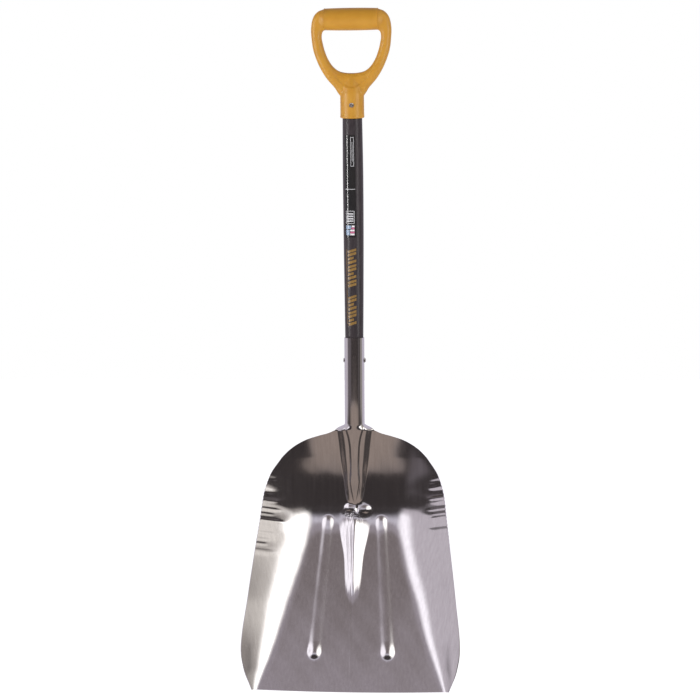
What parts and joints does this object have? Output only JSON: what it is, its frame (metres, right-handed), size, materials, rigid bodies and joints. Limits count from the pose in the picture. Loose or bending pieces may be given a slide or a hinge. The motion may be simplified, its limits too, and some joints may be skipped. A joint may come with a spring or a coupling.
{
  "type": "grain scoop shovel",
  "caption": "Scoop shovel with a wide stamped aluminium bowl, ribbed floor, rolled socket, bent wooden shaft and moulded D-grip.",
  "frame": {"origin": "middle of the bounding box's bottom, level with the scoop's front edge", "axes": "+Z from the scoop's front edge to the grip, +X across the blade, the scoop opens towards -Y"},
  "size_m": [0.3762, 0.1474, 1.1758],
  "materials": {
    "blade": "brushed mill finish",
    "shaft": "charcoal paint over turned hardwood",
    "grip": "satin moulded, golden yellow",
    "rivet": "plain steel",
    "label": "glossy black film"
  },
  "bodies": {
    "root": {"scoop_blade": "blade", "shaft": "shaft", "d_grip": "grip", "grip_rivet": "rivet", "grip_rivet_burr": "rivet", "socket_rivet": "rivet", "socket_rivet_burr": "rivet", "label": "label"}
  },
  "joints": []
}
